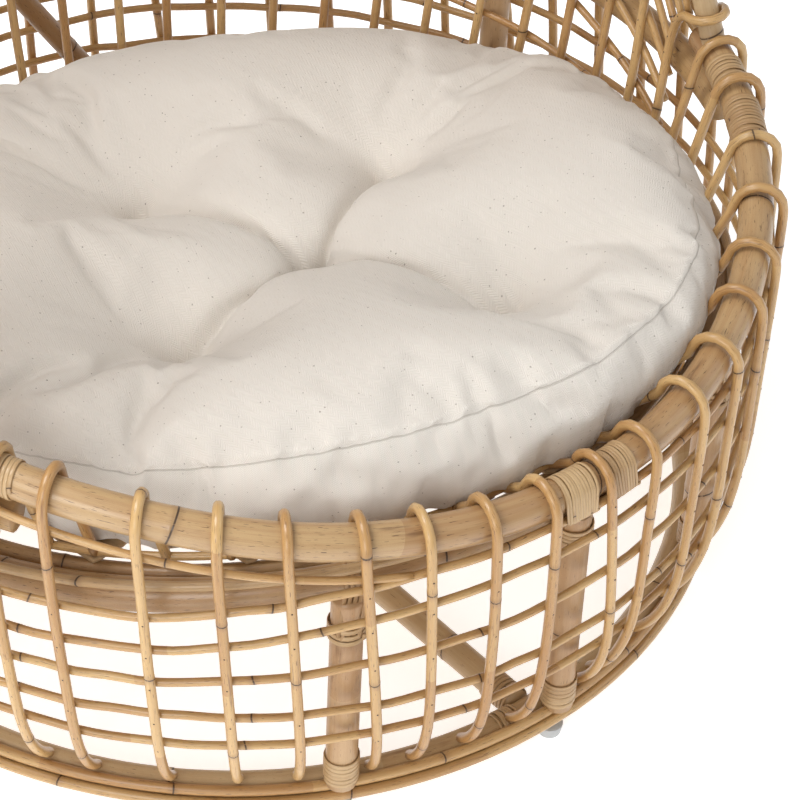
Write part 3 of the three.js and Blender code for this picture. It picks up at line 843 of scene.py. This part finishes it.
def makeRibs():
    nails = Bundle()
    for name, (first, last) in ribPanels.items():
        panel = Bundle()
        feet = []
        for index in range(first, last + 1):
            rng = random.Random(900 + index)
            angle = wall["first"] + ribStep * index
            angle += ribNudges.get(index, rng.uniform(-ribs["jitter"], ribs["jitter"]))
            if angle > 180:
                angle -= 360
            route = ribRoute(angle, rng)
            radius = wall["ribRadius"] * rng.uniform(0.95, 1.04)
            layStock(panel, route, radius, 300 + index, sides=10, step=0.009)
            feet.append(innerFoot(angle))
            heights = [base["poleHeight"] + wall["footLift"] + 0.004]
            heights += [hoopHeight(row, angle) for row in range(5)]
            spots = [outerPoint(angle, z) for z in heights]
            if abs(angle) > rim["jointAngle"]:
                outerRows, innerRows = hood["outerRows"], hood["innerRows"]
                spots += [upperWall(angle, True, row / outerRows) for row in range(1, outerRows)]
                inner = [upperWall(angle, False, row / innerRows) for row in range(1, innerRows)]
                for spot in inner:
                    at = route[int(np.argmin(np.linalg.norm(route - spot, axis=1)))]
                    inward = unit(np.array([0, 0, 0.45]) - at)
                    nail(nails, at + inward * wall["ribRadius"] * 0.96, inward)
            for spot in spots:
                at = route[int(np.argmin(np.linalg.norm(route - spot, axis=1)))]
                low = at[2] < belt["height"]
                outward = unit(at * [1, 1, 0]) if low else unit(at - np.array([0, 0.05, 0.45]))
                nail(nails, at + outward * wall["ribRadius"] * 0.96, outward)
        strip = smoothRoute(feet, 0.01)
        layStock(panel, strip + [0, 0, 0.001], 0.0036, 370 + first, sides=8)
        panel.make(named("canes", name[5:]), finish["caneFinish"], "cane", [name])
    nails.make("nailHeads", finish["nail"], "cane")


underRimSpan = (24, 66)  # a short cane runs close under the rim on each side, between these angles


def underRim(side, angle, inset):
    drop = 0.0215 + 0.0008 * (underRimSpan[1] - angle) ** 0.5
    return around(side * angle, wall["radius"] - inset, rimHeight(angle) - drop)


def makeHoops():
    ribAngles = [wall["first"] + ribStep * i for i in range(wall["ribs"])]
    inset = wall["ribRadius"] + wall["hoopRadius"] - 0.0006
    for row in range(5):
        rng = random.Random(60 + row)
        points = []
        for i in range(100):
            angle = wall["first"] + 3.6 * i
            angle = angle - 360 if angle > 180 else angle
            points.append(outerPoint(angle, hoopHeight(row, angle) + rng.uniform(-0.0016, 0.0016), inset))
        hoop = Bundle()
        layStock(hoop, smoothRoute(points, 0.01, True), wall["hoopRadius"], 61 + row, closed=True, sides=9)
        if row == 0:
            for side in (1, -1):
                under = [underRim(side, a, inset) for a in np.linspace(underRimSpan[0], underRimSpan[1], 20)]
                layStock(hoop, smoothRoute(under, 0.01), 0.0034, 70 + side, sides=9)
        hoop.make("outerHoop" + str(row + 1), finish["caneFinish"], "cane", [f"outer_hoop_{row + 1}"])
    behind = [a if a <= 180 else a - 360 for a in ribAngles]
    behind = [a for a in behind if abs(a) > rim["jointAngle"]]
    for outside, word in ((True, "outer"), (False, "inner")):
        rows = hood[word + "Rows"]
        for row in range(1, rows):
            rng = random.Random(80 + row + 10 * outside)
            points = []
            for angle in behind:
                here = upperWall(angle, outside, row / rows)
                upwards = upperWall(angle, outside, row / rows + 0.01) - here
                left, right = (upperWall(angle + turn, outside, row / rows) for turn in (1, -1))
                between = unit(np.cross(left - right, upwards)) * (-inset if outside else inset)
                points.append(here + between + [0, 0, rng.uniform(-0.0012, 0.0012)])
            hoop = Bundle()
            layStock(hoop, smoothRoute(points, 0.01), wall["hoopRadius"], 90 + row + 10 * outside, sides=9)
            name = f"hood_hoop_{word}_{row}"
            # outer hood hoops take the darker inner copy as painted shade; inner hood hoops keep the plain
            # cane finish
            shade = "caneFinish" if not outside else "innerShadeFinish"
            hoop.make(f"{word}HoodHoop{row}", finish[shade], "cane", [name])


# Peel windings
def ringAxes(angle):
    radial = around(angle, 1, 0)
    return radial, np.array([0, 0, 1.0]), around(angle + 90, 1, 0)


def wrapRim(bundle, start, stop, seed, withSeat=False, turns=8, width=0.0042):
    def at(share):
        angle = start + (stop - start) * share
        radial, upward, forward = ringAxes(angle)
        middles, radii = [rimPoint(angle)], [rim["poleRadius"]]
        if withSeat:
            middles += [seatPoint(angle, seat["ringRadius"]), outerPoint(angle, hoopHeight(0, angle), 0.0071)]
            radii += [seat["poleRadius"], wall["hoopRadius"]]
        return middles, radii, radial, upward, forward
    windPeel(bundle, at, turns, seed, width=width, slack=0.0004)


def wrapPost(bundle, x, y, low, high, radius, turns, seed, width=0.0042):
    def at(share):
        middle = np.array([x, y, low + (high - low) * share])
        return [middle], [radius], np.array([1.0, 0, 0]), np.array([0, 1.0, 0]), np.array([0, 0, 1.0])
    windPeel(bundle, at, turns, seed, width=width)


def wrapTop(bundle, angle, seed):  # straps over the seat ring and down a front post
    def at(share):
        radial, upward, forward = ringAxes(angle)
        shift = forward * (share - 0.5) * 0.021
        ring = seatPoint(angle, seat["ringRadius"]) + shift
        post = around(angle, upright["circle"], ring[2] - 0.042) + shift
        return [ring, post], [seat["poleRadius"], 0.0128], radial, upward, forward
    windPeel(bundle, at, 5, seed, width=0.0038, steps=28)


def makeBindings():
    front = Bundle()
    wrapRim(front, -7.0, -2.8, 101, True, 12, 0.0031)
    wrapRim(front, -1.0, 2.6, 102, True, 9, 0.0031)
    post, top = middleOf("post_front"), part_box("post_front")[1].z
    wrapPost(front, post.x, post.y, top - 0.022, top - 0.006, 0.0138, 4, 103)
    front.make("frontBinding", finish["peelFinish"], "peel", ["binding_front"])
    for side, place in ((1, "right"), (-1, "left")):
        joint = Bundle()
        for first, last in [(52.4, 58.2), (60.9, 64.6)] if side > 0 else [(63.2, 67.0), (68.6, 71.6)]:
            wrapRim(joint, side * first, side * last, 110 + side, False, round((last - first) / 0.5))
        joint.make(named("jointBinding", place), finish["peelFinish"], "peel", ["binding_joint_" + place])
    for index, (place, angle) in enumerate(posts.items()):
        foot = Bundle()
        low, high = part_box("binding_foot_" + place)
        middle = middleOf("binding_foot_" + place)
        wrapPost(foot, middle.x, middle.y, low.z, high.z - 0.004, 0.0132, 6, 120 + index, 0.0052)
        if place in ("front_right", "front_left"):
            wrapTop(foot, angle, 130 + index)
            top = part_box("post_" + place)[1].z
            wrapPost(foot, middle.x, middle.y, top - 0.036, top - 0.018, 0.0142, 3, 140 + index, 0.0052)
        foot.make(named("footBinding", place), finish["peelFinish"], "peel", ["binding_foot_" + place])
    ends = Bundle()
    for first, last in ((0.004, 0.042), (0.996, 0.962)):
        def at(share, first=first, last=last):
            middle = stretcherPoint(first + (last - first) * share)
            radius = stretcher["radius"] + 0.0002
            return [middle], [radius], np.array([1.0, 0, 0]), np.array([0, 0, 1.0]), np.array([0, 1.0, 0])
        windPeel(ends, at, 8, round(150 + first), width=0.0034)
    for first, last in ((-9.4, -6.3), (-0.2, 1.6)):
        def onRing(share, first=first, last=last):
            radial, upward, forward = ringAxes(first + (last - first) * share)
            middle = around(first + (last - first) * share, base["ringRadius"], base["poleHeight"])
            return [middle], [base["poleRadius"] + 0.0004], radial, upward, forward
        windPeel(ends, onRing, round((last - first) * 2.4), round(160 + last), width=0.003)
    ends.make("stretcherBinding", finish["peelFinish"], "peel")


makeBase()
makeGlides()
makePosts()
makeSeat()
makeSlats()
print("base, posts and seat made")
makeEdges()
makeRibs()
makeHoops()
makeBindings()
print("wall and hood made")


# Cushion: a boxed round of herringbone cloth, tufted in five places, filled and left to settle
cushion = {"radius": 0.361, "bottomRadius": 0.335, "height": 0.078, "voxel": 0.006, "seam": 0.364,
           "cap": 0.045, "pressure": 5.5, "slack": -0.035, "dimple": 0.052, "dimpleSize": 0.034,
           "valley": 0.024, "valleyWidth": 0.009,
           "spread": 0.017, "front": 0.009, "squeeze": 0.020, "slump": 0.24}
tufts = [(0.019, -0.062), (-0.019, 0.121), (0.162, 0.006), (-0.140, -0.079), (0.076, -0.224)]
cushionMiddle = -0.004  # ahead of the middle of the seat ring, along the seat


def clothMaterial():
    make = Finish("herringboneCloth")
    uv = make.put("ShaderNodeUVMap", {"uv_map": "clothLay"}).outputs[0]
    split = make.put("ShaderNodeSeparateXYZ", None, Vector=uv)
    across, along = make.wire(split.outputs[0]), make.wire(split.outputs[1])
    stripe = across / 0.0046
    side = (stripe.part("FLOOR") / 2).part("FRACT").within(0.2, 0.3) * 2 - 1
    twill = ((along + side * across * 0.9) / 0.0016).part("FRACT")
    ridge = abs(twill - 0.5) * 2
    wavy = make.noise(uv, 30.0, 3.0)
    yarn = make.noise(uv, 1500.0, 2.0)
    flecks = make.noise(uv, 420.0, 0.0).within(0.80, 0.84)
    colour = make.mix(ridge * 0.55 + yarn * 0.3, (0.70, 0.645, 0.575), (0.89, 0.845, 0.785))
    colour = make.mix(wavy.within(0.3, 0.8) * 0.22, colour, (0.80, 0.745, 0.675))
    colour = make.mix(flecks * 0.6, colour, (0.16, 0.11, 0.07))
    rest = make.wire(make.put("ShaderNodeAttribute", {"attribute_name": "seamOff"}).outputs["Fac"])
    seamLine = 1 - abs(rest).within(0.0005, 0.0014)
    colour = make.mix(seamLine * 0.4, colour, (0.36, 0.31, 0.26))
    make.bump(ridge * 0.6 + yarn * 0.4 - seamLine * 1.2, 0.0007, 0.8)
    return make.set(Base_Color=colour, Roughness=0.86 + yarn * 0.08, Sheen_Weight=0.12, Sheen_Roughness=0.5)


def cushionForm():
    bpy.ops.object.select_all(action="DESELECT")
    bpy.ops.mesh.primitive_cylinder_add(vertices=96, radius=cushion["radius"], depth=cushion["height"],
                                        end_fill_type="TRIFAN", location=(0, 0, cushion["height"] / 2))
    form = bpy.context.object
    form.name = "seatCushion"
    bpy.ops.object.transform_apply(location=True, rotation=True, scale=True)
    remesh = form.modifiers.new("evenCloth", "REMESH")
    remesh.mode, remesh.voxel_size = "VOXEL", cushion["voxel"]
    bpy.ops.object.modifier_apply(modifier=remesh.name)
    return form


def rowsOf(mesh, name="co"):
    values = np.zeros(len(mesh.vertices) * 3, np.float32)
    mesh.vertices.foreach_get(name, values)
    return values.reshape(-1, 3).astype(float)


def makeCushion():
    form = cushionForm()
    start = rowsOf(form.data)
    laid = start.copy()
    radius = np.hypot(start[:, 0], start[:, 1])
    top = start[:, 2] > cushion["height"] - 0.002
    held = {}
    for x, y in tufts:
        off = np.hypot(start[:, 0] - x, start[:, 1] - y)
        laid[:, 2] -= np.where(top, cushion["dimple"] * np.exp(-off / cushion["dimpleSize"]), 0)
        pinned = np.where(top & (off < 0.007))[0]
        held.update({int(i): 1.0 for i in pinned})
    for x, y in tufts[1:]:  # creases run from the middle tuft to the others
        span = np.array([x - tufts[0][0], y - tufts[0][1]])
        share = np.clip(((start[:, :2] - tufts[0]) @ span) / span.dot(span), 0, 1)
        off = np.linalg.norm(start[:, :2] - tufts[0] - share[:, None] * span, axis=1)
        laid[:, 2] -= np.where(top, cushion["valley"] * np.exp(-off / cushion["valleyWidth"]), 0)
    bottom = np.where((start[:, 2] < 0.002) & (radius < cushion["bottomRadius"]))[0]
    held.update({int(i): 1.0 for i in bottom})
    form.data.vertices.foreach_set("co", laid.astype(np.float32).ravel())
    group = form.vertex_groups.new(name="held")
    for index in held:
        group.add([index], 1.0, "REPLACE")
    puff(form)
    moved = rowsOf(form.data) - laid
    size = np.linalg.norm(moved, axis=1)
    share = np.minimum(1, cushion["cap"] / np.maximum(size, 1e-6))
    settled = laid + moved * share[:, None]
    settled[:, 2] = np.maximum(settled[:, 2], 0.0)
    toSide = np.maximum(settled[:, 0] - settled[:, 1], 0)[:, None] / 1.414 / cushion["radius"]
    toBack = np.maximum(settled[:, 0] + settled[:, 1], 0) / 1.414 / cushion["radius"]
    drawnIn = cushion["squeeze"] * toBack[:, None] ** 2
    settled[:, :2] += 0.707 * (cushion["spread"] * toSide ** 2 * [1, -1] - drawnIn)
    settled[:, 2] *= 1 - cushion["slump"] * toBack ** 2
    settled[:, 1] -= cushion["front"] * (np.maximum(-settled[:, 1], 0) / cushion["radius"]) ** 2
    form.data.vertices.foreach_set("co", settled.astype(np.float32).ravel())
    seamed(form, start)


def puff(form):
    cloth = form.modifiers.new("cloth", "CLOTH")
    cloth.settings.quality = 5
    cloth.settings.mass = 0.25
    cloth.settings.tension_stiffness = 30
    cloth.settings.compression_stiffness = 30
    cloth.settings.shear_stiffness = 12
    cloth.settings.bending_stiffness = 1.6
    cloth.settings.use_pressure = True
    cloth.settings.uniform_pressure_force = cushion["pressure"]
    cloth.settings.shrink_min = cushion["slack"]
    cloth.settings.vertex_group_mass = "held"
    cloth.settings.effector_weights.gravity = 0
    cloth.collision_settings.use_collision = False
    scene = bpy.context.scene
    for step in range(1, 21):
        scene.frame_set(step)
    pickOnly(form)
    bpy.ops.object.modifier_apply(modifier=cloth.name)
    scene.frame_set(1)


# Cloth lay, seam groove and the tilt of the seat
def seamed(form, start):
    mesh = form.data
    radius = np.hypot(start[:, 0], start[:, 1])
    onSide = start[:, 2] < cushion["height"] - 0.002
    overEdge = np.where(onSide, cushion["height"] - start[:, 2], 0)
    measure = radius + overEdge  # distance over the top and down the side
    now = rowsOf(mesh)
    groove = 0.0018 * np.exp(-((measure - cushion["seam"]) / 0.006) ** 2)
    normals = np.zeros(len(mesh.vertices) * 3, np.float32)
    mesh.vertices.foreach_get("normal", normals)
    now -= normals.reshape(-1, 3) * groove[:, None]
    tilt, lift = seat["tilt"], seat["deckRadius"] + slats["thick"] + 0.0008
    placed = now.copy()
    spot = seatSpot(cushionMiddle, lift)
    placed[:, 1] = spot.y + now[:, 1] * math.cos(tilt) + now[:, 2] * math.sin(tilt)
    placed[:, 2] = spot.z - now[:, 1] * math.sin(tilt) + now[:, 2] * math.cos(tilt)
    mesh.vertices.foreach_set("co", placed.astype(np.float32).ravel())
    away = mesh.attributes.new("seamOff", "FLOAT", "POINT")
    away.data.foreach_set("value", (measure - cushion["seam"]).astype(np.float32))
    layer = mesh.uv_layers.new(name="clothLay")
    corners = np.zeros(len(mesh.loops), np.int32)
    mesh.loops.foreach_get("vertex_index", corners)
    turn = np.arctan2(start[:, 0], -start[:, 1])
    lay = np.stack([start[:, 0], start[:, 1]], axis=1)
    boxed = np.stack([turn * cushion["radius"], start[:, 2] + 2], axis=1)
    atSide = onSide | (radius > cushion["radius"] - 0.008)
    sideFace = np.repeat([all(atSide[i] for i in p.vertices) for p in mesh.polygons],
                         [len(p.vertices) for p in mesh.polygons])
    uv = np.where(sideFace[:, None], boxed[corners], lay[corners])
    layer.data.foreach_set("uv", uv.astype(np.float32).ravel())
    mesh.polygons.foreach_set("use_smooth", [True] * len(mesh.polygons))
    finer = form.modifiers.new("finer", "SUBSURF")
    finer.levels = finer.render_levels = 1
    pickOnly(form)
    bpy.ops.object.modifier_apply(modifier=finer.name)
    finishPiece(form, clothMaterial(), ["cushion"], "cushion")


makeCushion()
print("cushion made")


# Floor, light and backdrop
def paperMaterial():
    make = Finish("whitePaper")
    spot = make.put("ShaderNodeTexCoord").outputs["Object"]
    tooth = make.noise(spot, 60.0, 3.0)
    colour = make.mix(tooth, (0.93, 0.93, 0.93), (0.95, 0.95, 0.95))
    return make.set(Base_Color=colour, Roughness=0.95, Emission_Color=(1.0, 1.0, 1.0), Emission_Strength=0.6)


lights = [
    {"name": "softAbove", "place": (-1.2, 0.9, 3.2), "size": 1.5, "power": 84},
    {"name": "softLeft", "place": (-2.8, -1.6, 1.9), "size": 1.4, "power": 44},
    {"name": "softRight", "place": (2.4, -2.0, 2.2), "size": 2.4, "power": 16},
]


def makeStage():
    bpy.ops.object.select_all(action="DESELECT")
    bpy.ops.mesh.primitive_plane_add(size=14, location=(0, 0, 0))
    floor = bpy.context.object
    floor.name = "paleFloor"
    floor.data.materials.append(paperMaterial())
    for lamp in lights:
        bpy.ops.object.light_add(type="AREA", location=lamp["place"])
        light = bpy.context.object
        light.name = lamp["name"]
        light.data.size = lamp["size"]
        light.data.energy = lamp["power"]
        aim = Vector((0, 0, 0.3)) - light.location
        light.rotation_euler = aim.to_track_quat("-Z", "Y").to_euler()
    world = bpy.data.worlds.new("paleRoom")
    world.use_nodes = True
    world.node_tree.nodes["Background"].inputs[0].default_value = (1, 1, 1, 1)
    world.node_tree.nodes["Background"].inputs[1].default_value = 0.42
    bpy.context.scene.world = world
    bpy.context.scene.view_settings.view_transform = "Standard"


makeStage()
